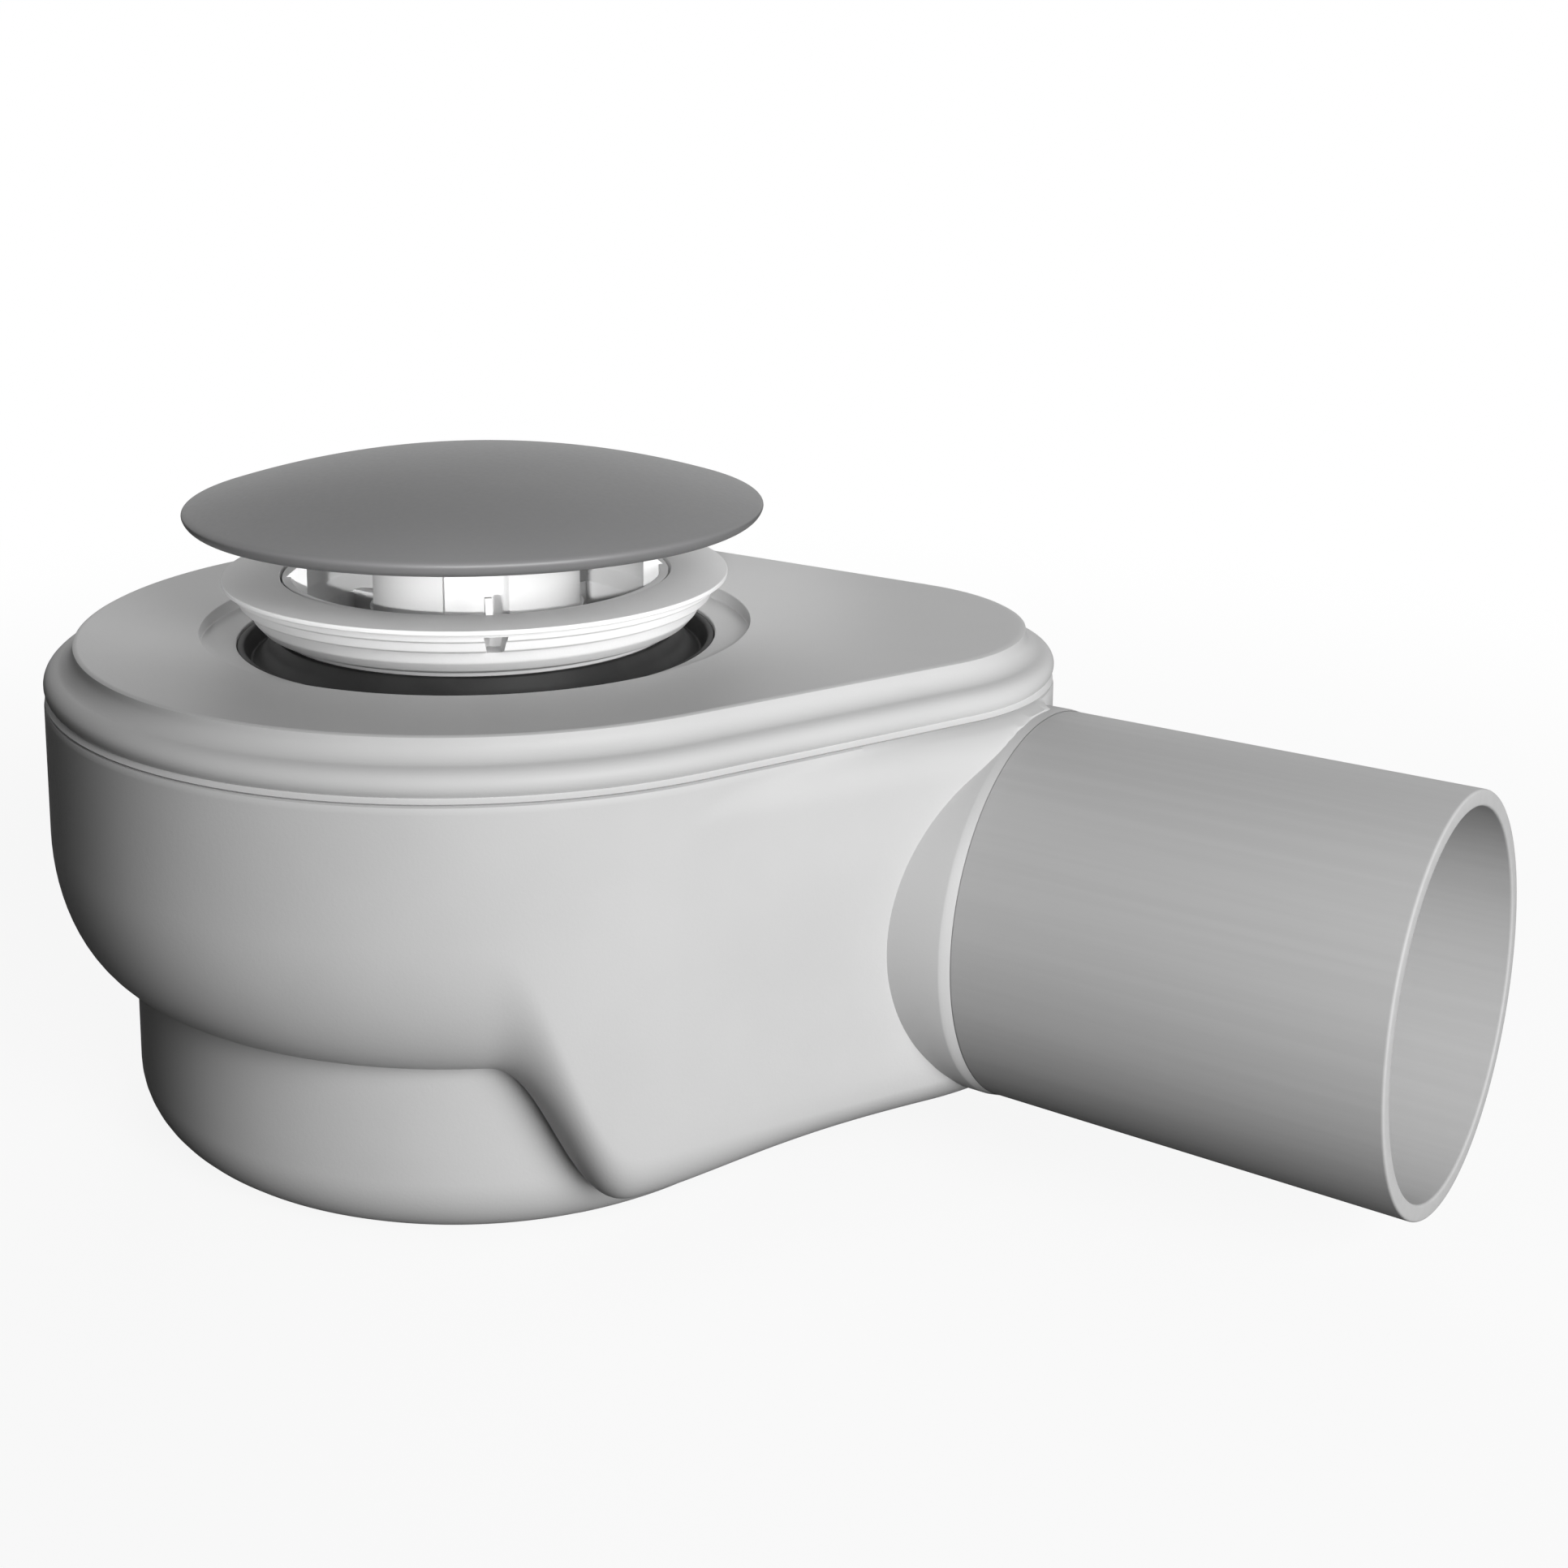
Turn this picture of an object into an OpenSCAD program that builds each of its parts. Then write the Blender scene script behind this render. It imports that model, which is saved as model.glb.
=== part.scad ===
// Shower tray waste with a low trap, a tangential outlet and a domed cap.
// The waste axis is Z, the outlet pipe runs along +X, and z = 0 is the underside of the sump.

/* [Trap body] */
// Radius of the round part of the body
body_r = 57.2; // [54:0.1:62]
// Height of the joint between the bowl and its lid
seam_z = 59.8; // [59.5:0.1:64]
// Wall thickness of the bowl
wall = 2.2; // [1.8:0.1:2.6]
// Height of the underside of the wide upper bowl
bowl_z = 24.5; // [22:0.5:28]
// Height of the rolled edge at the foot of the upper bowl
bowl_edge_h = 18; // [10:0.5:20]
// Width of that rolled edge
bowl_edge_w = 10; // [6:0.5:12]
// Radius of the sump
sump_r = 47; // [44:0.5:49]
// Edge radius of the sump's underside
sump_edge_r = 9; // [5:0.5:12]
// Height of the weir that the water spills over inside the bowl
weir_z = 46; // [40:0.5:48]

/* [Outlet] */
// Outside diameter of the outlet pipe
pipe_d = 50; // [46:0.1:50.4]
// Wall thickness of the outlet pipe
pipe_wall = 2; // [1.6:0.1:3]
// Length of pipe that stands out of the neck
pipe_len = 53.1; // [30:0.1:110]
// Height of the pipe axis above the base
outlet_z = 34; // [33.8:0.1:34.4]
// Distance from the waste axis to the centre of the rounded end of the body
nose_x = 40.2; // [38:0.1:44]
// Radius of that rounded end
nose_r = 29.5; // [28.8:0.1:30.5]
// How far the body flares out of that rounded end to meet the neck
flare = 6.6; // [4:0.1:7]
// Height of the underside of the outlet channel
channel_z = 7; // [5.5:0.1:7.2]
// Edge radius of the underside of the outlet channel
channel_edge_r = 8; // [5:0.5:8]
// Plan radius of the outlet channel's near corner beside the sump
channel_corner_r = 8; // [8:0.5:12]
// Direction of that corner from the waste axis, in degrees
channel_at = -28; // [-34:0.5:-24]
// How far the corner moves round as the channel's flank rises, in degrees
flank_turn = 4.6; // [3:0.1:6]
// How far the neck stands out of the rounded end
neck_out = 2.5; // [2:0.1:6]
// Thickness of the neck round the pipe
neck_wall = 2.8; // [2.2:0.1:3.2]
// Length of pipe held in the neck
socket_depth = 12; // [9:0.5:14]

/* [Lid] */
// Height of the ogee edge of the lid
lid_h = 7; // [6.5:0.1:8]
// How far the lid's top face lies inside the body's outline
ogee_w = 4.2; // [3.8:0.1:4.6]
// Radius of the cove in the ogee edge
cove_r = 2.6; // [2:0.1:2.8]
// Radius of the bead in the ogee edge
bead_r = 1.9; // [1.4:0.1:2.2]
// Width of the well round the flange's sleeve
well_w = 5.6; // [5.2:0.1:7]
// Width of the shallow seat round the opening
seat_w = 4.8; // [4:0.1:7]
// Depth of that seat
seat_depth = 1.8; // [1.2:0.1:2.2]
// Depth of the well that holds the tray seal
well_depth = 4.4; // [4:0.1:5]
// Length of the collar that the flange screws into
collar_len = 10.5; // [8:0.5:14]

/* [Flange] */
// Width of the flange round the sleeve
flange_w = 7.55; // [7:0.05:11]
// Height of the flange's top face above the base
flange_z = 73.85; // [73:0.05:80]
// Thickness of the flange's rim
flange_rim_h = 0.65; // [0.5:0.05:1.2]
// Width of the stepped skirt under the flange
skirt_w = 6.4; // [5:0.1:6.6]
// Depth from the flange's top face to the foot of that skirt
skirt_h = 7.25; // [6.5:0.05:7.6]
// Outside radius of the screwed sleeve
sleeve_r = 26.6; // [26.2:0.05:27]
// Wall thickness of the screwed sleeve
sleeve_wall = 1.8; // [1.4:0.1:2]
// Depth from the flange's top face to the step that carries the insert
step_depth = 5.8; // [5:0.1:6.4]
// Width of the tool notches in the flange's skirt
notch_w = 3.3; // [2:0.1:4]

/* [Insert] */
// Height of the foot of the dip tube above the base
dip_foot_z = 12; // [9:0.5:20]
// Wall thickness of the dip tube
dip_wall = 1.6; // [1.2:0.1:2]
// Section diameter of the ring seal on the dip tube
ring_d = 1.8; // [1.4:0.1:2]
// Depth of the ring seal below the cup's foot
ring_drop = 4; // [3:0.5:8]
// Outside radius of the post that carries the cap
post_r = 12.6; // [11:0.1:13]
// Height of the post above its ribs
post_h = 10; // [6:0.5:12]

/* [Cap] */
// Radius of the cap
cap_r = 39; // [36:0.5:48]
// Height of the widest line of the cap above the flange
cap_gap = 9.4; // [8.5:0.1:14]
// Rise of the cap's dome
cap_rise = 6.4; // [4:0.1:9]
// Thickness of the cap's shell
cap_t = 1; // [0.8:0.1:1.6]
// Depth of the cap's rolled rim
cap_roll = 1.9; // [1.4:0.1:2.6]
// Outside radius of the hub under the cap
hub_r = 14.5; // [14.2:0.1:17]
// Width of the windows in the hub
window_w = 8.6; // [5:0.1:10]
// Radius of the plate that holds the hub to the cap
plate_r = 22; // [18:0.5:26]

/* [Hidden] */
$fn = 96;
hull_fn = 48;
disc_fn = 32;
slip = 0.2;        // between pieces that are pushed together and stay together
run = 0.3;         // between pieces that slide
face_gap = 0.05;   // between faces that lie on each other
cut = 1;           // how far a cutting solid runs past the face that it cuts
lap = 1;           // how far joined solids of one moulding run into each other
pipe_r = pipe_d / 2;
outlet_y = body_r - nose_r;
nose = [nose_x, outlet_y];
neck_end_x = nose_x + nose_r + neck_out;
pipe_end_x = neck_end_x + pipe_len;
straight_at = atan2(outlet_y, nose_x) - acos((body_r - nose_r) / norm(nose));
flank_z = bowl_z - 4.5;
inner_in = wall + slip;
spigot_h = 2.5;
steps = 6;          // straight steps along a rolled edge
lip = 0.4;          // small bevels at the lid's top and bottom edges
bead_turn = 70;     // where the bead's round meets the cove, in degrees
lid_wall = 1.6;
lid_top_z = seam_z + lid_h;
opening_r = sleeve_r + slip + well_w;
seat_r = opening_r + seat_w;
seat_z = lid_top_z - seat_depth;
well_z = seat_z - well_depth;
well_wall = 2.2;
collar_wall = 2;
collar_r = sleeve_r + slip;
collar_z = well_z - collar_len;
neck_r = pipe_r + neck_wall;
neck_top_z = seam_z - 0.1;
neck_low_z = channel_z + 0.8;
socket_x = neck_end_x - socket_depth;
spigot_out = 0.5;   // how far the drawn-in end of the pipe shows past the neck
spigot_r = pipe_r - run;
flow_r = pipe_r - pipe_wall;
sleeve_in_r = sleeve_r - sleeve_wall;
mouth_r = sleeve_r - slip;
flange_r = sleeve_r + flange_w;
sleeve_foot_z = collar_z + 1;
step_z = flange_z - step_depth;
skirt_z = flange_z - skirt_h;
tool_z = flange_z - 2.3;
windows_at = -45;
cup_r = mouth_r - run;
cup_wall = 1.2;
cup_z = step_z + slip;
dip_r = sleeve_in_r - 0.5;
groove = 0.8;
ring_z = cup_z - ring_drop;
rib_top_z = cup_z - 0.6;
rib_h = 5;
rib_t = 1.6;
grip_t = 0.9;
cap_z = flange_z + cap_gap;
dome_r = (cap_r * cap_r + cap_rise * cap_rise) / (2 * cap_rise);
dome_z = cap_z + cap_rise - dome_r;
hub_wall = hub_r - post_r - run;
hub_foot_z = rib_top_z + slip;
plate_z = cap_z - 0.6;

// The part's outline in plan: two circles and the straights that touch both.
module outline(p1, r1, p2, r2) {
    a = atan2(p2[1] - p1[1], p2[0] - p1[0]);
    t = acos((r1 - r2) / norm(p2 - p1));
    n1 = [cos(a - t), sin(a - t)];
    n2 = [cos(a + t), sin(a + t)];
    translate(p1) circle(r = r1);
    translate(p2) circle(r = r2);
    polygon([p1 + r1 * n1, p2 + r2 * n1, p2 + r2 * n2, p1 + r1 * n2]);
}

// Points along an arc or a part of an ellipse.
function arc(centre, rx, ry, from, to) = [for (i = [0 : steps]) let (turn = from + (to - from) * i / steps)
    centre + [rx * cos(turn), ry * sin(turn)]];

// One round end of the body or its channel, with a rolled foot.
module round_end(r, z0, z1, edge_w, edge_h) {
    translate([0, 0, z1 - 0.01]) cylinder(r = r, h = 0.01, $fn = hull_fn);
    rotate_extrude($fn = hull_fn) polygon(concat(arc([r - edge_w, z0 + edge_h], edge_w, edge_h, -90, 0),
        [[r - edge_w, z0 + edge_h]]));
}

// The body's outline as one hull, with a rolled foot.
module teardrop(inset, z0, z1, edge_w, edge_h) {
    hull() {
        round_end(body_r - inset, z0, z1, edge_w, edge_h);
        translate(nose) round_end(nose_r - inset, z0, z1, edge_w, edge_h);
    }
}

// A thin disc that touches the inside of the body's outline in the given direction.
module wall_disc(at, z)
    translate([(body_r - channel_corner_r) * cos(at), (body_r - channel_corner_r) * sin(at), z])
        cylinder(r = channel_corner_r, h = 0.01, $fn = disc_fn);

// The deep outlet channel: the body's near side and nose carried down beside the sump.
module channel(inset, z1) {
    edge = channel_edge_r - inset;
    hull() {
        for (at = [channel_at, straight_at])
            translate((body_r - channel_corner_r) * [cos(at), sin(at)])
                round_end(channel_corner_r - inset, channel_z + inset, z1, edge, edge);
        translate(nose) round_end(nose_r - inset, channel_z + inset, z1, edge, edge);
        if (inset == 0) wall_disc(channel_at - flank_turn, flank_z);
    }
}

// The hollow at the head of the channel's flank, in two steps that flatten into the bowl's foot.
module channel_flank() {
    mid_at = channel_at - 1.7 * flank_turn;
    head_at = channel_at - 3.2 * flank_turn;
    mid_z = bowl_z - 2.1;
    hull() {
        wall_disc(channel_at - flank_turn, flank_z);
        wall_disc(mid_at, mid_z);
        wall_disc(straight_at, flank_z);
        wall_disc(straight_at, bowl_z + bowl_edge_h);
    }
    hull() {
        wall_disc(mid_at, mid_z);
        wall_disc(head_at, bowl_z + 0.1);
        wall_disc(head_at, bowl_z + bowl_edge_h);
        wall_disc(straight_at, mid_z);
        wall_disc(straight_at, bowl_z + bowl_edge_h);
    }
}

// The round sump, as a turned outline with a rolled edge.
module sump(r, z0, z1, edge) {
    rotate_extrude() {
        translate([0, z0]) square([r - edge, z1 - z0]);
        translate([0, z0 + edge]) square([r, z1 - z0 - edge]);
        intersection() {
            translate([r - edge, z0 + edge]) circle(r = edge);
            translate([r - edge, z0]) square([edge, edge]);
        }
    }
}

// The neck round the pipe, flat above and below where it meets the joint and the channel.
module neck(extra, x0, x1) {
    intersection() {
        translate([x0, outlet_y, outlet_z]) rotate([0, 90, 0]) cylinder(r = neck_r + extra, h = x1 - x0);
        translate([x0 - cut, outlet_y - 2 * neck_r, neck_low_z])
            cube([x1 - x0 + 2 * cut, 4 * neck_r, neck_top_z - neck_low_z]);
    }
}

// Flare on the near side, where the rounded end widens to meet the neck.
module neck_flare() {
    r = nose_r + flare;
    top_z = neck_top_z - 0.1;
    foot = arc([r - channel_edge_r, channel_z + channel_edge_r], channel_edge_r, channel_edge_r, -60, 0);
    shoulder = arc([nose_r - lip, top_z - flare], flare + lip, flare, 0, 90);
    intersection() {
        translate([nose_x, outlet_y, 0]) rotate_extrude()
            polygon(concat([[0, foot[0][1]]], foot, shoulder, [[0, top_z]]));
        translate([nose_x, outlet_y - r - cut, 0])
            cube([neck_end_x - 0.1 - nose_x, r + cut + wall, seam_z]);
    }
}

// Bowl: upper bowl, sump with its weir, outlet channel and neck, in one moulding.
module trap_bowl() color("gainsboro") difference() {
    union() {
        teardrop(0, bowl_z, seam_z, bowl_edge_w, bowl_edge_h);
        channel(0, bowl_z + bowl_edge_h);
        channel_flank();
        sump(sump_r, 0, weir_z, sump_edge_r);
        neck(0, nose_x, neck_end_x);
        neck_flare();
    }
    difference() {
        union() {
            teardrop(wall, bowl_z + wall, seam_z + cut, bowl_edge_w - wall, bowl_edge_h - wall);
            channel(wall, bowl_z + bowl_edge_h);
        }
        cylinder(r = sump_r, h = weir_z);
        neck(0, socket_x - wall, neck_end_x);
    }
    sump(sump_r - wall, wall, seam_z + cut, sump_edge_r - wall);
    translate([socket_x, outlet_y, outlet_z]) rotate([0, 90, 0])
        cylinder(r = pipe_r, h = socket_depth + cut);
    translate([socket_x - wall - cut, outlet_y, outlet_z]) rotate([0, 90, 0])
        cylinder(r = flow_r, h = wall + 2 * cut);
}

// A slab with the body's outline, drawn in by inset, between two heights above the joint.
module slab(inset, z0, z1)
    for (end = [[[0, 0], body_r], [nose, nose_r]])
        translate([end[0][0], end[0][1], seam_z + z0]) cylinder(r = end[1] - inset, h = z1 - z0, $fn = hull_fn);

// One step of the ogee edge, from a lower slab that laps into the step below it.
module ogee_step(from, to) {
    hull() {
        slab(-from[0], from[1] - lap, from[1]);
        slab(-to[0], to[1] - 0.01, to[1]);
    }
}

// Ogee edge of the lid: a bead below, a cove above it and a small step under the top face.
module ogee() {
    cove_z = lid_h - lip - cove_r;
    bead_at = [-bead_r, cove_z - bead_r * sin(bead_turn)];
    cove_at = [lip - ogee_w + cove_r, lid_h - lip];
    bead = arc(bead_at, bead_r, bead_r, 0, bead_turn);
    cove = arc(cove_at, cove_r, cove_r, 270, 180);
    hull() {
        slab(lip, 0, lip);
        slab(0, lip, bead_at[1]);
        for (i = [2, 4, 6]) slab(-bead[i][0], bead[i][1] - 0.01, bead[i][1]);
    }
    ogee_step(bead[steps], cove[1]);
    ogee_step(cove[1], cove[2]);
    ogee_step(cove[2], cove[3]);
    ogee_step(cove[3], cove[4]);
    ogee_step(cove[4], cove[5]);
    hull() {
        slab(-cove[5][0], cove[5][1] - lap, cove[5][1]);
        slab(-cove[steps][0], cove[steps][1] - 0.01, cove[steps][1]);
        slab(ogee_w, lid_h - 0.01, lid_h);
    }
}

// Lid: ogee edge, spigot into the bowl, seat, well and screwed collar round the opening.
module housing_lid() color("whitesmoke") difference() {
    union() {
        ogee();
        difference() {
            translate([0, 0, seam_z - spigot_h]) linear_extrude(height = spigot_h + lap)
                outline([0, 0], body_r - inner_in, nose, nose_r - inner_in);
            neck(run, socket_x - wall - run, neck_end_x + cut);
        }
    }
    difference() {
        translate([0, 0, seam_z - spigot_h - cut]) linear_extrude(height = spigot_h + cut + lid_h - wall)
            outline([0, 0], body_r - inner_in - lid_wall, nose, nose_r - inner_in - lid_wall);
        translate([0, 0, seat_z - wall]) cylinder(r = seat_r + wall, h = seat_depth + wall);
        translate([0, 0, well_z - wall]) cylinder(r = opening_r + well_wall, h = well_depth + wall);
        translate([0, 0, collar_z]) cylinder(r = collar_r + collar_wall, h = collar_len);
    }
    translate([0, 0, seat_z]) cylinder(r = seat_r, h = seat_depth + cut);
    translate([0, 0, well_z]) cylinder(r = opening_r, h = well_depth + cut);
    translate([0, 0, collar_z - cut]) cylinder(r = collar_r, h = collar_len + 2 * cut);
}

// Black rubber seal in the well: an outer wall, a valley and a lip that flares off the sleeve.
module tray_seal() color("black") {
    r0 = sleeve_r + slip;
    r1 = opening_r - face_gap;
    w = r1 - r0;
    foot = well_z + face_gap;
    rotate_extrude() polygon([
        [r0, foot],
        [r1, foot],
        [r1, seat_z - 0.3],
        [r1 - 0.16 * w, seat_z - 0.3],
        [r1 - 0.33 * w, foot + 1.6],
        [r0 + 0.5 * w, foot + 2.2],
        [r0 + 0.27 * w, seat_z - 0.6],
        [r0 + 0.12 * w, skirt_z - 0.4],
        [r0, skirt_z - 0.4]]);
}

// Flange with its stepped skirt and screwed sleeve, and four tool notches in the skirt.
module flange_ring() color("white") difference() {
    rotate_extrude() polygon([
        [sleeve_in_r, sleeve_foot_z],
        [sleeve_r, sleeve_foot_z],
        [sleeve_r, skirt_z],
        [sleeve_r + 0.16 * skirt_w, skirt_z + 0.03 * skirt_h],
        [sleeve_r + 0.38 * skirt_w, skirt_z + 0.11 * skirt_h],
        [sleeve_r + 0.56 * skirt_w, skirt_z + 0.29 * skirt_h],
        [sleeve_r + 0.59 * skirt_w, skirt_z + 0.5 * skirt_h],
        [sleeve_r + 0.83 * skirt_w, skirt_z + 0.55 * skirt_h],
        [sleeve_r + 0.86 * skirt_w, skirt_z + 0.73 * skirt_h],
        [sleeve_r + 0.98 * skirt_w, skirt_z + 0.76 * skirt_h],
        [sleeve_r + skirt_w, flange_z - flange_rim_h],
        [flange_r, flange_z - flange_rim_h],
        [flange_r, flange_z - 0.1],
        [flange_r - 0.1, flange_z],
        [mouth_r + 0.4, flange_z],
        [mouth_r, flange_z - 0.4],
        [mouth_r, step_z],
        [sleeve_in_r, step_z]]);
    for (turn = [0 : 90 : 270])
        rotate([0, 0, turn + windows_at + 3.5]) translate([flange_r - 3.6, 0, tool_z]) rotate([90, 0, 90])
            linear_extrude(height = skirt_w)
                polygon([[-notch_w / 2, 1.15], [notch_w / 2, 1.15],
                    [notch_w * 0.32, -1.15], [-notch_w * 0.32, -1.15]]);
}

// Dip tube: cup, tube, ring groove, four ribs, the post for the cap, and four finger grips.
module dip_tube() color("gainsboro") {
    rotate_extrude() polygon([
            [dip_r - dip_wall, dip_foot_z],
            [dip_r, dip_foot_z],
            [dip_r, ring_z - ring_d / 2 - slip],
            [dip_r - groove, ring_z - ring_d / 2 - slip],
            [dip_r - groove, ring_z + ring_d / 2 + slip],
            [dip_r, ring_z + ring_d / 2 + slip],
            [dip_r, cup_z],
            [cup_r, cup_z],
            [cup_r, flange_z - 0.3],
            [cup_r - cup_wall, flange_z - 0.3],
            [cup_r - cup_wall, cup_z + cup_wall],
            [dip_r - dip_wall, cup_z + cup_wall - 1.8]]);
    difference() {
        union() {
            translate([0, 0, rib_top_z - rib_h]) cylinder(r = post_r, h = rib_h + post_h);
            for (turn = [0 : 90 : 270])
                rotate([0, 0, turn]) translate([post_r - 1, -rib_t / 2, rib_top_z - rib_h])
                    cube([dip_r - dip_wall / 2 - post_r + 1, rib_t, rib_h]);
        }
        translate([0, 0, rib_top_z - rib_h - cut]) cylinder(r = post_r - 1.6, h = rib_h + post_h + 2 * cut);
    }
    for (turn = [0 : 90 : 270])
        rotate([0, 0, turn + windows_at]) translate([0, grip_t / 2, 0]) rotate([90, 0, 0])
            linear_extrude(height = grip_t)
                polygon([
                    [cup_r - cup_wall / 2, cup_z + 2],
                    [cup_r - cup_wall / 2, flange_z - 0.3],
                    [cup_r - 2.6, flange_z + 1.4],
                    [cup_r - 3.3, flange_z + 1.4],
                    [cup_r - 3.3, cup_z + 2]]);
}

// Ring seal in the groove of the dip tube, squeezed between the groove and the sleeve.
module dip_tube_seal() color("black") {
    in_r = dip_r - groove + face_gap;
    out_r = sleeve_in_r - face_gap;
    translate([0, 0, ring_z]) rotate_extrude() translate([(in_r + out_r) / 2, 0]) intersection() {
        circle(d = ring_d);
        square([out_r - in_r, ring_d], center = true);
    }
}

// Carrier: the windowed hub that slides over the post, and the plate under the cap's dome.
module cap_carrier() color("white") difference() {
    intersection() {
        union() {
            translate([0, 0, hub_foot_z]) cylinder(r = hub_r, h = cap_z + cap_rise - hub_foot_z);
            translate([0, 0, plate_z]) cylinder(r = plate_r, h = cap_rise + 1);
        }
        translate([0, 0, dome_z]) sphere(r = dome_r - cap_t - face_gap, $fn = 192);
    }
    translate([0, 0, hub_foot_z - cut]) cylinder(r = hub_r - hub_wall, h = plate_z - hub_foot_z + cut);
    translate([0, 0, plate_z - cut]) difference() {
        cylinder(r = plate_r - 1.5, h = 3 + cut);
        cylinder(r = hub_r, h = 3 + cut);
    }
    for (turn = [0 : 90 : 270])
        rotate([0, 0, turn + windows_at])
            translate([hub_r / 2, -window_w / 2, hub_foot_z + 1.2])
                cube([hub_r, window_w, plate_z - hub_foot_z - 1.2]);
}

// Cap: a thin domed shell with a rolled rim.
module cap() color("dimgray") {
    difference() {
        intersection() {
            translate([0, 0, dome_z]) sphere(r = dome_r, $fn = 192);
            translate([0, 0, cap_z]) cylinder(r = cap_r + cut, h = cap_rise + cut);
        }
        translate([0, 0, dome_z]) sphere(r = dome_r - cap_t, $fn = 192);
    }
    rotate_extrude() translate([cap_r - cap_roll, cap_z]) intersection() {
        difference() {
            circle(r = cap_roll);
            circle(r = cap_roll - cap_t);
        }
        translate([0, -cap_roll]) square(cap_roll);
    }
}

// Outlet pipe, with its end drawn in a little where the neck holds it.
module outlet_pipe() color("silver")
    translate([socket_x + face_gap, outlet_y, outlet_z]) rotate([0, 90, 0]) difference() {
        union() {
            cylinder(r = spigot_r, h = pipe_end_x - socket_x - face_gap);
            translate([0, 0, socket_depth + spigot_out])
                cylinder(r = pipe_r, h = pipe_end_x - neck_end_x - spigot_out - face_gap);
        }
        translate([0, 0, -cut]) cylinder(r = flow_r, h = pipe_end_x - socket_x + 2 * cut);
    }

trap_bowl();
housing_lid();
tray_seal();
flange_ring();
dip_tube();
dip_tube_seal();
cap_carrier();
cap();
outlet_pipe();
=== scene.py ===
import bpy
import numpy as np
from mathutils import Matrix, Vector


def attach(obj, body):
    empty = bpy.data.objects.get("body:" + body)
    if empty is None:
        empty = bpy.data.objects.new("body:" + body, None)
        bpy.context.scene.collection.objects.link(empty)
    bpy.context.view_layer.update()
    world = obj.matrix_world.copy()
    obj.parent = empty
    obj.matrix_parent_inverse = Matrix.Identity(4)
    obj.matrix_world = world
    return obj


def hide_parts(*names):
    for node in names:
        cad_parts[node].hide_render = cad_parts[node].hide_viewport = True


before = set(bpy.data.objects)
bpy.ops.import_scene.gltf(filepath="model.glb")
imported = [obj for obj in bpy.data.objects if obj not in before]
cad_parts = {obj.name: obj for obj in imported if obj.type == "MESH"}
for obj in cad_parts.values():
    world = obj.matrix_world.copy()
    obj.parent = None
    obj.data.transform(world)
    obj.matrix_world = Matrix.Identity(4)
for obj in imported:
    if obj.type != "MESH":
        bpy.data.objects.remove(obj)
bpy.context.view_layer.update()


# Trap bowl. One grey plastic moulding: a wide upper bowl with a rolled foot over a round sump. The
# foot drops in an S-curve to the deep outlet channel, whose flat flank runs on into the neck. A low
# collar there holds the pipe. Sizes are in millimetres from the waste axis and the floor.
turn = np.radians(np.arange(0.25, 360, 0.5) - 180)
body_r, nose_r, nose_x, pipe_y, pipe_z, pipe_r = 57.2, 29.5, 40.2, 27.7, 34, 25
wall, sump_r, sump_roll, sump_rim_z, seam_z = 2.2, 47, 9, 46, 59.8


def outline(inset):
    """Distance to the body's outline in each direction, drawn in by inset: a circle of radius b,
    the tangent b / cos(turn - a), the nose D cos(t) + sqrt(n^2 - D^2 sin^2(t)), the tangent
    b / sin(turn) and the circle again. Columns are directions, and rows follow inset."""
    inset = np.atleast_1d(inset)[:, None] if np.ndim(inset) < 2 else inset
    big, nose = body_r - inset, nose_r - inset
    far, at = np.hypot(nose_x, pipe_y), np.arctan2(pipe_y, nose_x)
    near = at - np.arccos(pipe_y / far)
    nose_from = np.arctan2(pipe_y + nose * np.sin(near), nose_x + nose * np.cos(near))
    nose_to = np.arctan2(pipe_y + nose, nose_x)
    ahead = turn - at
    round_end = far * np.cos(ahead) + np.sqrt(np.maximum(nose**2 - (far * np.sin(ahead)) ** 2, 0))
    ends = [near + 0 * inset, nose_from, nose_to, np.pi / 2 + 0 * inset]
    reach = [big + 0 * turn, big / np.cos(turn - near), round_end, big / np.sin(turn)]
    return np.select([turn < end for end in ends], reach, big + 0 * turn)


def ease(t):
    """Smooth rise from 0 to 1 that is flat at both ends: t^3 (10 - 15 t + 6 t^2)."""
    t = np.clip(t, 0, 1)
    return t**3 * (10 - 15 * t + 6 * t**2)


def polar(radius, height):
    """Grid of points at these distances and heights, one column per direction."""
    radius, height = np.broadcast_arrays(np.atleast_2d(radius + 0 * turn), height + 0 * turn)
    return np.stack([radius * np.cos(turn), radius * np.sin(turn), height], -1)


def shell(grid, ring=False):
    """Closed surface over a grid whose columns run round. The rows close on themselves as a ring,
    or end in a pole at the middle of the first and of the last row."""
    rows, cols = grid.shape[:2]
    points = grid.reshape(-1, 3)
    row = np.arange(rows if ring else rows - 1)[:, None]
    col = np.arange(cols)[None, :]
    row, below, beside = row * cols, (row + 1) % rows * cols, (col + 1) % cols
    quads = np.stack([row + col, row + beside, below + beside, below + col], -1)
    faces = quads.reshape(-1, 4).tolist()
    if not ring:
        points = np.vstack([points, grid[0].mean(0), grid[-1].mean(0)])
        first, last, end = len(points) - 2, len(points) - 1, (rows - 1) * cols
        faces += [[first, (c + 1) % cols, c] for c in range(cols)]
        faces += [[last, end + c, end + (c + 1) % cols] for c in range(cols)]
    a, b, c = (points[[f[i] for f in faces]] for i in (0, 1, 2))
    d = points[[f[-1] for f in faces]]
    volume = np.einsum("ij,ij->", a, np.cross(b, c)) + np.einsum("ij,ij->", a, np.cross(c, d))
    return points, faces if volume > 0 else [f[::-1] for f in faces]


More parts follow.
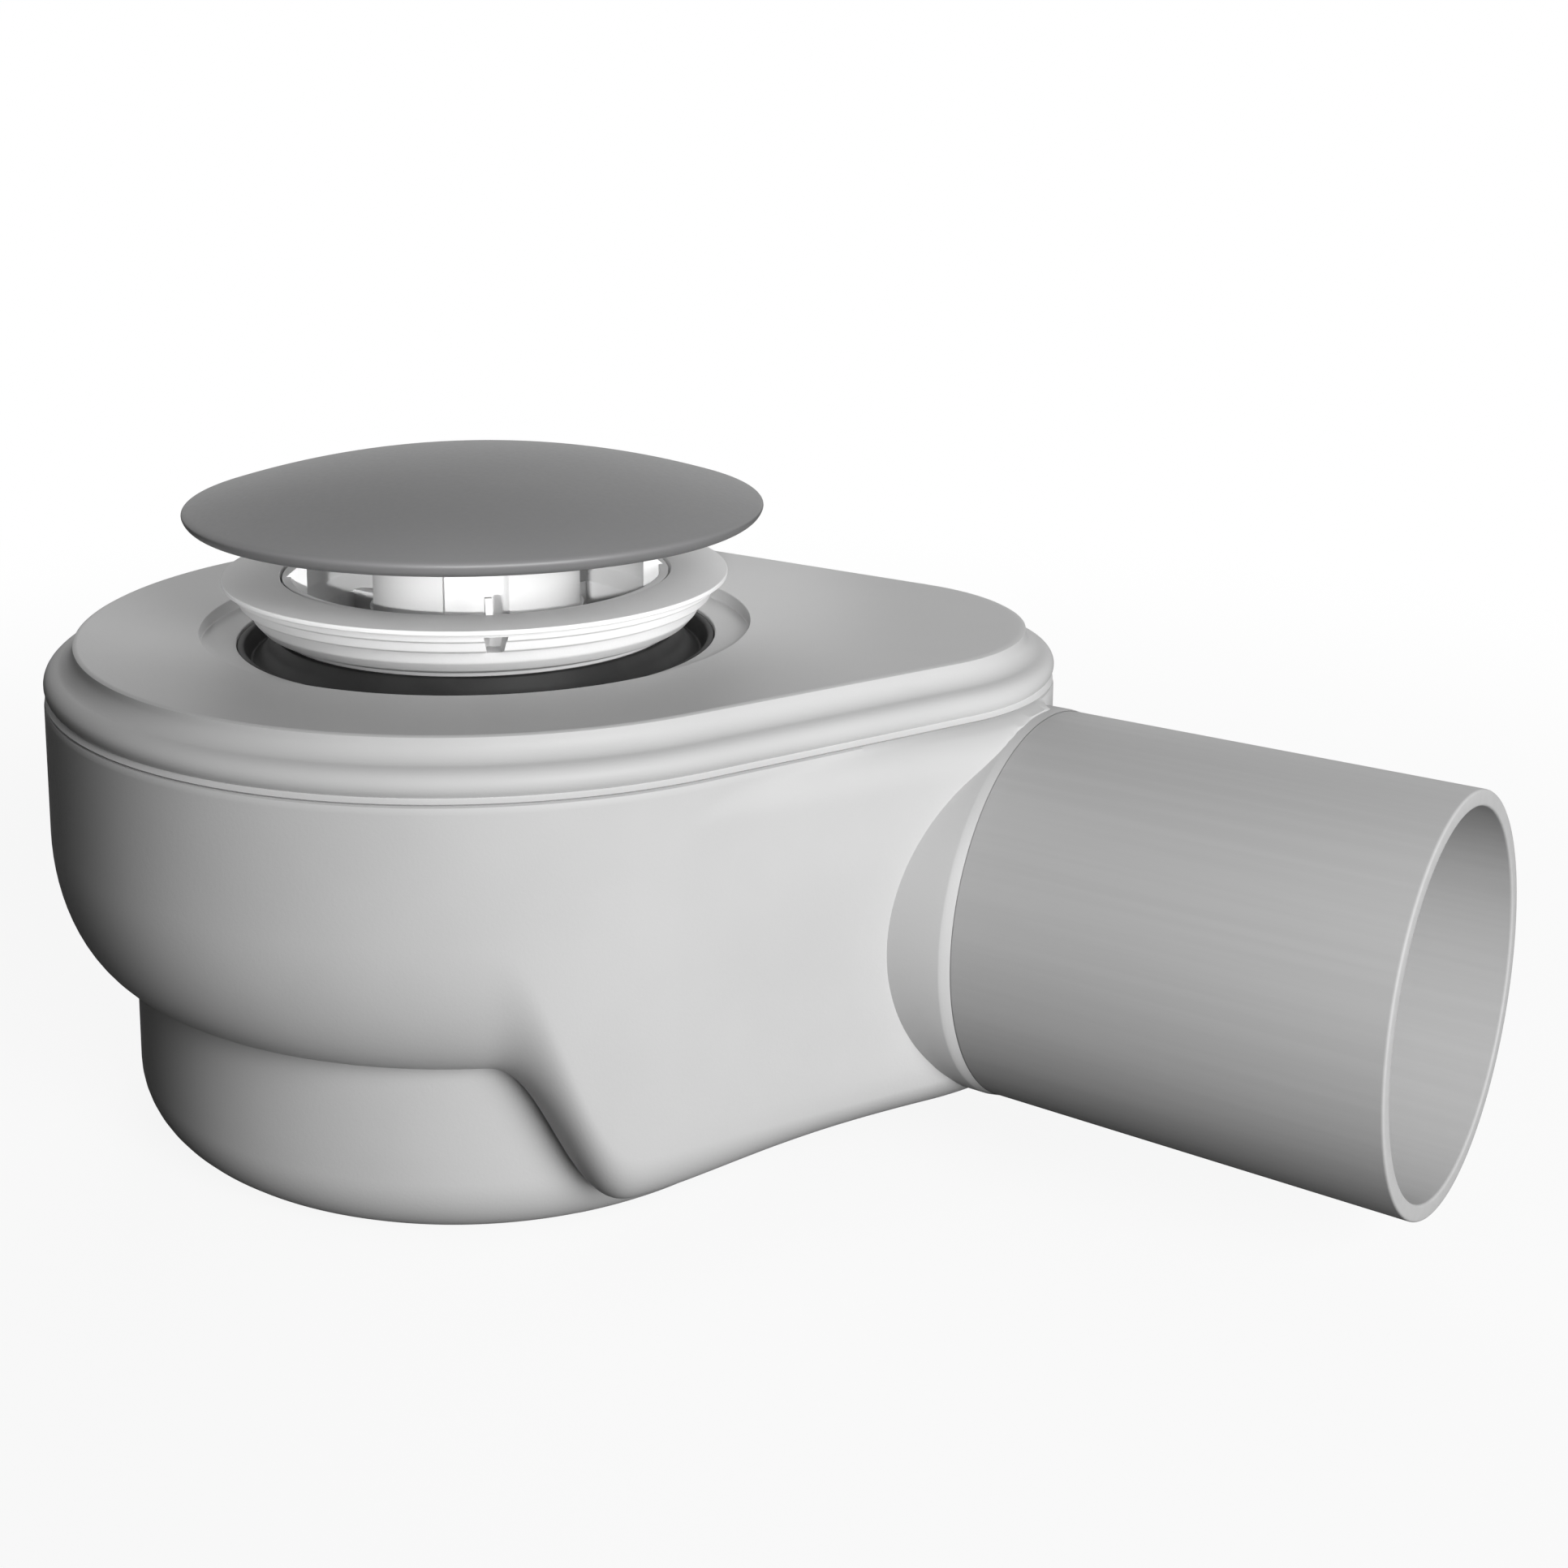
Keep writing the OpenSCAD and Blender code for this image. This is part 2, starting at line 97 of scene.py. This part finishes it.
def mesh_of(name, shells):
    """One mesh in metres from closed shells in millimetres."""
    points, faces, start = [], [], 0
    for some_points, some_faces in shells:
        points.append(some_points)
        faces += [[i + start for i in face] for face in some_faces]
        start += len(some_points)
    mesh = bpy.data.meshes.new(name)
    mesh.from_pydata(np.vstack(points) / 1000, [], faces)
    return mesh


def piece(name, mesh, node, paint):
    """A piece that stands for a CAD node, shaded smooth except at its real edges."""
    mesh.shade_smooth()
    mesh.set_sharp_from_angle(angle=np.radians(33))
    mesh.materials.clear()
    mesh.materials.append(paint)
    made = bpy.data.objects.new(name, mesh)
    bpy.context.scene.collection.objects.link(made)
    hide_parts(node)
    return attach(made, "root")


def carved(name, mesh, *cutters):
    """The mesh less the cutters, by an exact Boolean."""
    body = bpy.data.objects.new(name, mesh)
    bpy.context.scene.collection.objects.link(body)
    tools = []
    for cutter in cutters:
        tool = bpy.data.objects.new("cutter", cutter)
        bpy.context.scene.collection.objects.link(tool)
        cut = body.modifiers.new("cut", "BOOLEAN")
        cut.object, cut.operation, cut.solver = tool, "DIFFERENCE", "EXACT"
        tools.append(tool)
    bpy.context.view_layer.update()
    graph = bpy.context.evaluated_depsgraph_get()
    result = bpy.data.meshes.new_from_object(body.evaluated_get(graph))
    for used in (body, *tools):
        bpy.data.objects.remove(used)
    return result


def about_pipe(along, radius, around):
    """Grid of points about the pipe's axis, one column per angle round it."""
    side, height = pipe_y + radius * np.cos(around), pipe_z + radius * np.sin(around)
    return np.stack(np.broadcast_arrays(along, side, height), -1)


class Value:
    """A shader value that takes part in sums like a number."""

    def __init__(self, nodes, socket):
        self.nodes, self.socket = nodes, socket

    def math(self, kind, *others):
        """A Math node of this kind on the value and the others."""
        inputs = dict(enumerate((self, *others)))
        return self.nodes.node("ShaderNodeMath", {"operation": kind}, inputs)

    def __add__(self, other):
        return self.math("ADD", other)

    def __mul__(self, other):
        return self.math("MULTIPLY", other)

    __radd__, __rmul__ = __add__, __mul__

    def step(self, low, high):
        """0 below low, 1 above high and a smooth rise between them."""
        settings = {"interpolation_type": "SMOOTHSTEP", "clamp": True}
        return self.nodes.node("ShaderNodeMapRange", settings, {0: self, 1: low, 2: high})


class Nodes:
    """A node tree in which every new node comes from node()."""

    def __init__(self, tree):
        self.tree = tree

    def feed(self, socket, value):
        """Links a value to a socket, or sets a number or a colour on it."""
        if isinstance(value, Value):
            self.tree.links.new(value.socket, socket)
        elif isinstance(value, tuple) and len(value) < len(socket.default_value):
            socket.default_value = (*value, 1)
        else:
            socket.default_value = value

    def node(self, kind, settings={}, inputs={}, out=0):
        """A new node with these settings and inputs, as the value of one of its outputs."""
        made = self.tree.nodes.new(kind)
        for name, value in settings.items():
            setattr(made, name, value)
        for name, value in inputs.items():
            self.feed(made.inputs[name], value)
        return Value(self, made.outputs[out])


class Paint(Nodes):
    """A procedural material whose places are in the object's own frame."""

    def __init__(self, name, **surface):
        self.material = bpy.data.materials.new(name)
        self.material.use_nodes = True
        super().__init__(self.material.node_tree)
        self.surface = self.tree.nodes["Principled BSDF"]
        self.place = self.node("ShaderNodeTexCoord", out="Object")
        for key, value in surface.items():
            self.feed(self.surface.inputs[key.replace("_", " ")], value)

    def noise(self, scale, detail=2.0, stretch=(1.0, 1.0, 1.0)):
        """Noise around 0.5, with the given number of features to the metre along each axis."""
        place = self.node("ShaderNodeMapping", {}, {"Vector": self.place, "Scale": stretch})
        inputs = {"Vector": place, "Scale": scale, "Detail": detail}
        return self.node("ShaderNodeTexNoise", {}, inputs)

    def blend(self, share, first, second):
        """A colour between two others."""
        settings = {"data_type": "RGBA"}
        return self.node("ShaderNodeMix", settings, {0: share, 6: first, 7: second}, out=2)

    def finish(self, colour, roughness, height, depth):
        """Colour and roughness that vary over the surface, and relief depth tenths of a millimetre
        high."""
        inputs = {"Height": height, "Strength": depth, "Distance": 0.0001}
        self.feed(self.surface.inputs["Base Color"], colour)
        self.feed(self.surface.inputs["Roughness"], roughness)
        self.feed(self.surface.inputs["Normal"], self.node("ShaderNodeBump", {}, inputs))


def grey(level):
    """A grey as a colour."""
    return (level, level, level)


def moulded(name, dark, light, roughness):
    """Satin moulded plastic: faint clouds in the colour, a fine grain and a little uneven gloss."""
    paint = Paint(name, IOR=1.45, Specular_IOR_Level=0.15)
    cloud = paint.noise(38.0, 3.0).step(0.3, 0.7)
    colour = paint.blend(cloud, grey(dark), grey(light))
    paint.finish(colour, cloud * 0.06 + roughness, paint.noise(2600.0, 2.0), 0.12)
    return paint.material


step_turn = np.radians(20)
lift = ease((np.radians(-28.8) - turn) / step_turn) + ease((turn - np.radians(72)) / step_turn)
foot, roll_w, roll_h = 7 + 17.5 * lift, 8 + 2 * lift, 8 + 10 * lift


def flared(radius, height, inset):
    """The outline joined to the flat flank beside the neck: the tangent b / cos(turn - a) for a of
    -26 degrees, run on as a circle of radius 33.2 - inset round the nose. It shrinks to the nose's
    own circle close under the seam, fades out past the pipe, and is cut off at the neck's end. The
    join of p and q is max(p, q) + max(k - |p - q|, 0)^2 / 4j, with k rising from 0 to j = 0.6."""
    swing, flank_r, neck_end_x, join = np.radians(-26), 33.2, 71.4, 0.6
    shoulder_z, shoulder_h, fade = 54.5, 5.2, 12
    above = np.maximum(height - shoulder_z, 0) / shoulder_h
    wide = flank_r - inset - (flank_r - nose_r) * (1 - np.sqrt(np.maximum(1 - above**2, 0)))
    wide = wide - fade * ease((turn - np.radians(22)) / np.radians(10))
    far, ahead = np.hypot(nose_x, pipe_y), turn - np.arctan2(pipe_y, nose_x)
    circle = far * np.cos(ahead) + np.sqrt(np.maximum(wide**2 - (far * np.sin(ahead)) ** 2, 0))
    reach = nose_x * np.cos(swing) + pipe_y * np.sin(swing) + wide
    tangent = reach / np.cos(np.clip(turn - swing, -1.2, 1.2))
    met = swing + np.arctan2(pipe_y * np.cos(swing) - nose_x * np.sin(swing), reach)
    side = np.where(turn < met, tangent, circle)
    side = np.minimum(side, neck_end_x / np.cos(np.clip(turn, -1, 1)))
    near = np.maximum(join * ease((turn - swing) / np.radians(12)) - abs(radius - side), 0)
    joined = np.maximum(radius, side) + near**2 / (4 * join)
    return np.where((turn > swing) & (turn < 0.7), joined, radius)


def tucked(radius, height):
    """The foot drawn in below the neck, 4 ((17 - z) / 7)^2 in directions from -35 to 65 degrees."""
    deep, tuck_z, tuck_h = 4, 17, 7
    share = ease((turn + np.radians(35)) / np.radians(50))
    share = share - ease((turn - np.radians(40)) / np.radians(25))
    return radius - deep * np.clip((tuck_z - height) / tuck_h, 0, 1.2) ** 2 * share


def bowl_wall(inset, top, rows):
    """Rows down the wall from top and round the rolled foot: w (1 - cos p) in from the outline at
    the height foot + h (1 - sin p), with the inside drawn in from these by inset."""
    down = np.linspace(0, 1, rows)[:, None]
    bend = np.radians(np.linspace(0, 90, rows + 6))[1:, None]
    wall_z = top + (foot + roll_h - top) * down
    roll_in = inset + (roll_w - inset) * (1 - np.cos(bend))
    roll_z = foot + inset + (roll_h - inset) * (1 - np.sin(bend))
    return np.vstack([inset + 0 * wall_z, roll_in]), np.vstack([wall_z, roll_z])


rim_in, rim_z = np.array([0.55, 0.15, 0.0]), np.array([59.8, 59.66, 59.25])
high_z = np.linspace(58.8, 53, 9)
side_in, side_z = bowl_wall(0, 52.0, 14)
top_in, top_z = np.append(rim_in, 0 * high_z), np.append(rim_z, high_z)
outer_in = np.vstack([top_in[:, None] + 0 * turn, side_in])
outer_z = np.vstack([top_z[:, None] + 0 * turn, side_z])
outer = polar(tucked(flared(outline(outer_in), outer_z, outer_in), outer_z), outer_z)
down = np.linspace(1, 0, 5)[:-1, None]
sump_flat = sump_r - sump_roll
weir_in = np.array([[0], [0.2], [2.0], [wall]])
above_roll = np.maximum(foot - sump_roll, 0)
sump_bend = np.arcsin(np.clip((sump_roll - foot) / sump_roll, 0, 1))
sump_bend = sump_bend + (np.pi / 2 - sump_bend) * np.linspace(0, 1, 14)[:, None]
sump = np.vstack([
    polar(
        sump_r + 0.6 * down * (foot < sump_roll),
        np.minimum(foot, sump_roll + above_roll * down),
    ),
    polar(sump_flat + sump_roll * np.cos(sump_bend), sump_roll * (1 - np.sin(sump_bend))),
    polar(np.linspace(36, 2, 5)[:, None], 0.0),
])
inside_in, inside_z = bowl_wall(wall, seam_z, 10)
bend, inner_roll = np.radians(np.linspace(0, 90, 7))[:, None], sump_roll - wall
inside = np.vstack([
    polar(tucked(outline(inside_in), inside_z - wall), inside_z),
    polar(sump_r, foot + wall),
    polar(sump_r - weir_in, sump_rim_z - np.array([[0.2], [0], [0], [0.2]])),
    polar(sump_flat + inner_roll * np.cos(bend), sump_roll - inner_roll * np.sin(bend)),
    polar(np.array([[30.0], [5.0]]), wall),
])
around = np.radians(np.arange(0, 360, 0.75))
collar_r, lip_r, hidden_r = 25.1 + 0.95 * abs(np.cos(around)) ** 2.5, 25.03, 28.4
held_r, bevel_x, bevel_long, lip_x = 24.98 + 0 * around, 71.45, 1.2, 72.4 + 0 * around
inner_x = nose_x + np.sqrt(np.maximum(hidden_r**2 - (pipe_r * np.cos(around)) ** 2, 0))
bevel = np.linspace(0, 1, 6)[:, None]
collar = about_pipe(
    np.vstack([inner_x, inner_x, bevel_x + bevel_long * bevel + 0 * around, lip_x]),
    np.vstack([held_r, collar_r, collar_r - (collar_r - lip_r) * bevel**1.2, held_r]),
    around,
)
bore = about_pipe(np.linspace(50, 80, 3)[:, None], 24.9, around)
body_plastic = moulded("body plastic", 0.6, 0.63, 0.45)
bowl = mesh_of("trap bowl", [shell(np.vstack([sump[::-1], outer[::-1], inside]))])
bowl = carved("trap bowl", bowl, mesh_of("bore", [shell(bore)]))
piece("bowl", bowl, "trap_bowl", body_plastic)
collar = mesh_of("neck collar", [shell(collar, ring=True)])
piece("neck_collar", collar, "trap_bowl", body_plastic)


# Outlet pipe. The end of a plain extruded DN50 plastic pipe, a shade greyer than the trap and with
# faint draw lines along it. It is pushed into the neck, where it is drawn in a little.
def profiled(points, radius=0.15, steps=3):
    """Closed profile whose corners become short curves, (1-s)^2 A + 2s(1-s) P + s^2 B round each
    corner P."""
    points = np.array(points, float)
    before, after = np.roll(points, 1, 0) - points, np.roll(points, -1, 0) - points
    size_before, size_after = (np.linalg.norm(v, axis=1, keepdims=True) for v in (before, after))
    reach = np.minimum(radius, 0.4 * np.minimum(size_before, size_after))
    start, end = points + before / size_before * reach, points + after / size_after * reach
    s = np.linspace(0, 1, steps + 1)[None, :, None]
    curve = (1 - s) ** 2 * start[:, None] + 2 * s * (1 - s) * points[:, None] + s**2 * end[:, None]
    return curve.reshape(-1, 2)


bore_r, drawn_in_r, hidden_x, pipe_end_x = 23, 24.95, 60.25, 125.3
held = [(hidden_x, bore_r), (hidden_x, drawn_in_r), (72.6, drawn_in_r)]
free = [(72.75, pipe_r), (pipe_end_x, pipe_r), (pipe_end_x, bore_r)]
pipe_at, pipe_out = profiled(held + free, 0.35, 4).T[:, :, None]
pipe_paint = Paint("pipe plastic", IOR=1.45, Specular_IOR_Level=0.15)
drawn = pipe_paint.noise(900.0, 3.0, (0.02, 1.0, 1.0))
pipe_tone = pipe_paint.blend(drawn.step(0.3, 0.7), grey(0.55), grey(0.57))
pipe_paint.finish(pipe_tone, drawn * 0.08 + 0.42, drawn, 0.03)
pipe = mesh_of("outlet pipe", [shell(about_pipe(pipe_at, pipe_out, around), ring=True)])
piece("pipe", pipe, "outlet_pipe", pipe_paint.material)


# Housing lid. A plastic moulding that closes the bowl. Its ogee edge has a bead below a cove, and a
# small step under the flat top. A shallow seat and a well surround the collar that takes the
# flange's screwed sleeve.
def arc(x, y, rx, ry, start, end, steps):
    """Points (inset, height) along part of an ellipse, with angles in degrees."""
    angle = np.radians(np.linspace(start, end, steps))
    return list(zip(x - rx * np.cos(angle), y + ry * np.sin(angle)))


lid_z = 66.8
edge = [(4.0, 57.3), (2.4, 57.3), (2.4, 59.85), (0.5, 59.85), (0.12, 60.1)]
edge += arc(1.9, 62.015, 1.9, 1.8, -50, 70, 12)
edge += arc(1.2, 66.4, 2.6, 2.6, 262, 184, 12)
edge += [(3.86, 66.62), (4.2, lid_z)]
edge_in, edge_z = np.array(edge).T
top = outline(4.2) + (37.3 - outline(4.2)) * np.linspace(0.02, 1, 6)[:, None]
well_above = [(37.2, lid_z), (37.2, 65), (32.4, 65), (32.4, 60.6), (26.8, 60.6), (26.8, 50.1)]
well_below = [(28.8, 50.1), (28.8, 58.4), (34.6, 58.4), (34.6, 62.8), (39.4, 62.8), (39.4, 64.6)]
well_r, well_z = np.vstack([profiled(well_above + well_below, 0.3)[4:-4], well_below[-1:]]).T
lid = np.vstack([
    polar(outline(edge_in), edge_z[:, None]),
    polar(top, lid_z),
    polar(37.22, lid_z - 0.1),
    polar(well_r[:, None], well_z[:, None]),
    polar(outline(4.0), 64.6),
])
lid_plastic = moulded("lid plastic", 0.6, 0.63, 0.42)
lid = mesh_of("housing lid", [shell(lid, ring=True)])
piece("lid", lid, "housing_lid", lid_plastic)


# Tray seal. Black moulded rubber that lies in the well: an outer wall, a valley and an inner lip
# that flares up against the flange's skirt.
def turned(points, radius=0.15, steps=3):
    """Closed shell of a rounded profile (radius, height) about the waste axis."""
    around_axis, height = profiled(points, radius, steps).T
    return shell(polar(around_axis[:, None], height[:, None]), ring=True)


seal_paint = Paint("seal rubber", IOR=1.5, Specular_IOR_Level=0.3)
bloom = seal_paint.noise(140.0, 4.0)
seal_tone = seal_paint.blend(bloom.step(0.4, 0.7), grey(0.016), grey(0.026))
seal_paint.finish(seal_tone, bloom * 0.1 + 0.5, bloom, 0.2)
seal = [(26.8, 60.65), (32.35, 60.65), (32.35, 64.7), (31.46, 64.7), (30.52, 62.25)]
seal += [(29.57, 62.85), (28.3, 64.4), (27.47, 66.2), (26.8, 66.2)]
seal = mesh_of("tray seal", [turned(seal, 0.4, 4)])
piece("seal", seal, "tray_seal", seal_paint.material)


# Flange. A white plastic moulding with a thin rim, a skirt in three rounded steps with four tool
# notches, and a screwed sleeve that goes down into the lid's collar.
def prism(polygon, depth, matrix):
    """Closed shell of a polygon in X and Z, extruded along Y by depth and placed by matrix."""
    x, z = np.array(polygon, float).T
    ring = np.stack([np.column_stack([x, 0 * x + y, z]) for y in (-depth / 2, depth / 2)])
    return shell(ring @ np.array(matrix.to_3x3()).T + np.array(matrix.translation))


def turned_by(degrees, x=0.0, y=0.0, z=0.0):
    """Turn about the waste axis after a move."""
    return Matrix.Rotation(np.radians(degrees), 4, "Z") @ Matrix.Translation((x, y, z))


skirt = [(24.8, 51.1), (26.6, 51.1), (26.6, 66.6), (27.6, 66.8), (29.05, 67.4), (30.2, 68.7)]
skirt += [(30.4, 70.2), (31.9, 70.6), (32.1, 71.9), (32.9, 72.1), (33, 73.2), (34.15, 73.2)]
skirt += [(34.15, 73.85), (26.4, 73.85), (26.4, 68.05), (24.8, 68.05)]
notch = [(-1.5, 1.3), (1.5, 1.3), (0.95, -1.3), (-0.95, -1.3)]
notches = []
for degrees in (-44.5, 45.5, 135.5, 225.5):
    place = turned_by(degrees, 30.3, 0, 71.4) @ Matrix.Rotation(np.radians(90), 4, "Z")
    notches.append(mesh_of("notch", [prism(notch, 5.9, place)]))
flange_plastic = moulded("flange plastic", 0.74, 0.78, 0.36)
flange = carved("flange", mesh_of("flange", [turned(skirt, 0.22)]), *notches)
piece("flange", flange, "flange_ring", flange_plastic)


# Dip tube. The lift-out insert, a white plastic moulding: a cup on the flange's step, a tube down
# into the sump, the post that carries the cap on four ribs, and four finger grips that stand above
# the flange.
insert_plastic = moulded("insert plastic", 0.8, 0.83, 0.4)
cup = [(22.7, 12), (24.3, 12), (24.3, 63.15), (23.5, 63.15), (23.5, 65.35), (24.3, 65.35)]
cup += [(24.3, 68.25), (26.1, 68.25), (26.1, 73.55), (24.9, 73.55), (24.9, 69.45), (22.7, 67.65)]
post = [(11, 62.65), (12.6, 62.65), (12.6, 77.65), (11, 77.65)]
rib = [(11.6, 62.65), (23.5, 62.65), (23.5, 67.65), (11.6, 67.65)]
grip = [(25.5, 70.25), (25.5, 73.55), (23.5, 75.25), (22.8, 75.25), (22.8, 70.25)]
insert = [turned(cup, 0.15), turned(post, 0.15)]
insert += [prism(rib, 1.6, turned_by(90 * i)) for i in range(4)]
insert += [prism(grip, 0.9, turned_by(90 * i - 45)) for i in range(4)]
piece("insert", mesh_of("dip tube", insert), "dip_tube", insert_plastic)


# Ring seal. A round ring of black rubber that lies in the dip tube's groove and is pressed flat by
# the flange's sleeve. Its profile is the same above and below its middle.
middle_z = 64.25
ring = [(23.55, 63.65), (23.9, 63.35), (24.4, 63.35), (24.75, 63.65)]
ring += [(r, 2 * middle_z - z) for r, z in ring[::-1]]
ring = mesh_of("ring seal", [turned(ring, 0.2)])
piece("ring", ring, "dip_tube_seal", seal_paint.material)


# Cap carrier. A white plastic hub that slides over the post, with four windows for the water, under
# a dished plate that holds the cap.
dome_r, dome_z = 122.03125, -32.38125
reach = np.linspace(0.5, 22, 12)
under_cap = np.sqrt((dome_r - 1.05) ** 2 - reach**2) + dome_z
hub = [(12.9, 67.85), (14.5, 67.85), (14.5, 82.65), (12.9, 82.65)]
window = [(-4.3, 69.05), (4.3, 69.05), (4.3, 84), (-4.3, 84)]
places = [turned_by(90 * i - 139, 0, 14) for i in range(4)]
windows = [mesh_of("window", [prism(window, 6, place)]) for place in places]
hub = carved("hub", mesh_of("hub", [turned(hub, 0.15)]), *windows)
piece("hub", hub, "cap_carrier", flange_plastic)
plate_r = np.concatenate([reach, [22, 20.5, 20.5, 14.5, 14.5, 2]])
plate_z = np.concatenate([under_cap, [82.65, 82.65, 85.65, 85.65, 82.65, 82.65]])
plate = shell(polar(plate_r[:, None], plate_z[:, None]))
plate = mesh_of("carrier plate", [plate])
piece("hub_plate", plate, "cap_carrier", flange_plastic)


# Cap. A thin domed disc of pressed metal with a rolled rim. Its satin finish is so fine that it
# shows as an even grey, and it sits on the carrier's plate.
across = np.concatenate([[0.4], np.linspace(2, 37.2, 30)])
fold = np.linspace(0, 1, 8)
curl, tuck = np.radians(np.linspace(-22, -90, 12)), np.radians(np.linspace(-90, -45, 5))
fold_r = (1 - fold) ** 2 * 38.2 + 2 * fold * (1 - fold) * 39.08 + fold**2 * 38.91
fold_z = (1 - fold) ** 2 * 83.52 + 2 * fold * (1 - fold) * 83.22 + fold**2 * 82.66
cap_r = np.concatenate([
    across,
    fold_r,
    37.1 + 1.9 * np.cos(curl),
    37.1 + 0.9 * np.cos(tuck),
    across[::-1],
])
cap_z = np.concatenate([
    np.sqrt(dome_r**2 - across**2) + dome_z,
    fold_z,
    83.25 + 1.9 * np.sin(curl),
    83.25 + 0.9 * np.sin(tuck),
    np.sqrt((dome_r - 1) ** 2 - across[::-1] ** 2) + dome_z,
])
cap_paint = Paint("cap metal", IOR=1.5, Specular_IOR_Level=0.5)
satin = cap_paint.noise(1500.0, 3.0)
cloud = cap_paint.noise(30.0).step(0.3, 0.7)
cap_tone = cap_paint.blend(cloud, (0.15, 0.15, 0.152), (0.17, 0.17, 0.172))
cap_paint.finish(cap_tone, satin * 0.1 + 0.4, satin, 0.08)
cap = mesh_of("cap", [shell(polar(cap_r[:, None], cap_z[:, None]))])
piece("dome", cap, "cap", cap_paint.material)


# Floor, light and camera. A pale floor with a faint shadow, a white surround that lights little, a
# soft lamp in front, one behind, a narrow strip for the gap under the cap, and the photo's camera.
scene = bpy.context.scene
floor_mesh = bpy.data.meshes.new("floor")
floor_mesh.from_pydata([(-4, -4, 0), (4, -4, 0), (4, 4, 0), (-4, 4, 0)], [], [(0, 1, 2, 3)])
floor = bpy.data.objects.new("floor", floor_mesh)
scene.collection.objects.link(floor)
floor_paint = Paint("floor", Roughness=0.9, Specular_IOR_Level=0.0)
white = floor_paint.node("ShaderNodeEmission", {}, {"Color": grey(1.0), "Strength": 1.0})
rays = floor_paint.node("ShaderNodeLightPath", out="Is Camera Ray")
pale = floor_paint.blend(rays, grey(0.05), grey(0.8))
floor_paint.feed(floor_paint.surface.inputs["Base Color"], pale)
length = {"operation": "LENGTH"}
away = floor_paint.node("ShaderNodeVectorMath", length, {0: floor_paint.place}, out="Value")
lit = Value(floor_paint, floor_paint.surface.outputs[0])
share = rays * (0.9 + 0.1 * away.step(0.12, 0.4))
mixed = floor_paint.node("ShaderNodeMixShader", {}, {0: share, 1: lit, 2: white})
floor_paint.feed(floor_paint.tree.nodes["Material Output"].inputs["Surface"], mixed)
floor_mesh.materials.append(floor_paint.material)

scene.world = bpy.data.worlds.new("surround")
scene.world.use_nodes = True
sky = Nodes(scene.world.node_tree)
sky.tree.nodes.remove(sky.tree.nodes["Background"])
names = ("Is Camera Ray", "Is Glossy Ray", "Is Transmission Ray")
camera_ray, glossy_ray, through_ray = [sky.node("ShaderNodeLightPath", out=name) for name in names]
shown = camera_ray.math("MAXIMUM", glossy_ray).math("MAXIMUM", through_ray)
bright, dim = [
    sky.node("ShaderNodeBackground", {}, {"Color": grey(1.0), "Strength": strength})
    for strength in (1.0, 0.03)
]
surround = sky.node("ShaderNodeMixShader", {}, {0: shown, 1: dim, 2: bright})
sky.feed(sky.tree.nodes["World Output"].inputs["Surface"], surround)


def lamp(name, towards, distance, wide, high, power, aim=(0.02, 0.0, 0.05)):
    """A rectangular lamp in the given direction from the object, aimed at it."""
    light = bpy.data.lights.new(name, "AREA")
    light.shape, light.size, light.size_y, light.energy = "RECTANGLE", wide, high, power
    made = bpy.data.objects.new(name, light)
    scene.collection.objects.link(made)
    direction = Vector(towards).normalized()
    made.location = Vector(aim) + direction * distance
    made.rotation_euler = direction.to_track_quat("Z", "Y").to_euler()
    return made


lamp("key", (0.8, -0.36, 0.29), 0.75, 0.35, 0.45, 6.1)
lamp("back", (-0.6, 0.77, 0.26), 0.8, 0.5, 0.4, 4.2).visible_glossy = False
gap_under_cap = (0.005, -0.014, 0.0746)
strip = lamp("strip", (0.56, -0.8, 0.21), 0.4, 0.11, 0.007, 0.0036, gap_under_cap)
strip.data.spread = np.radians(3)

camera_data = bpy.data.cameras.new("camera")
camera = bpy.data.objects.new("camera", camera_data)
scene.collection.objects.link(camera)
camera_data.sensor_width, camera_data.lens = 36.0, 49.21
camera_data.shift_x, camera_data.shift_y = 0.0604, -0.2148
camera_data.clip_start, camera_data.clip_end = 0.01, 20.0
right, up, back = (0.8097, 0.5869, 0.0006), (-0.1015, 0.1391, 0.9851), (0.578, -0.7977, 0.1722)
facing = Matrix((right, up, back)).transposed().to_4x4()
camera.matrix_world = Matrix.Translation((0.1904, -0.2135, 0.1402)) @ facing
scene.camera = camera
scene.view_settings.view_transform = "Standard"
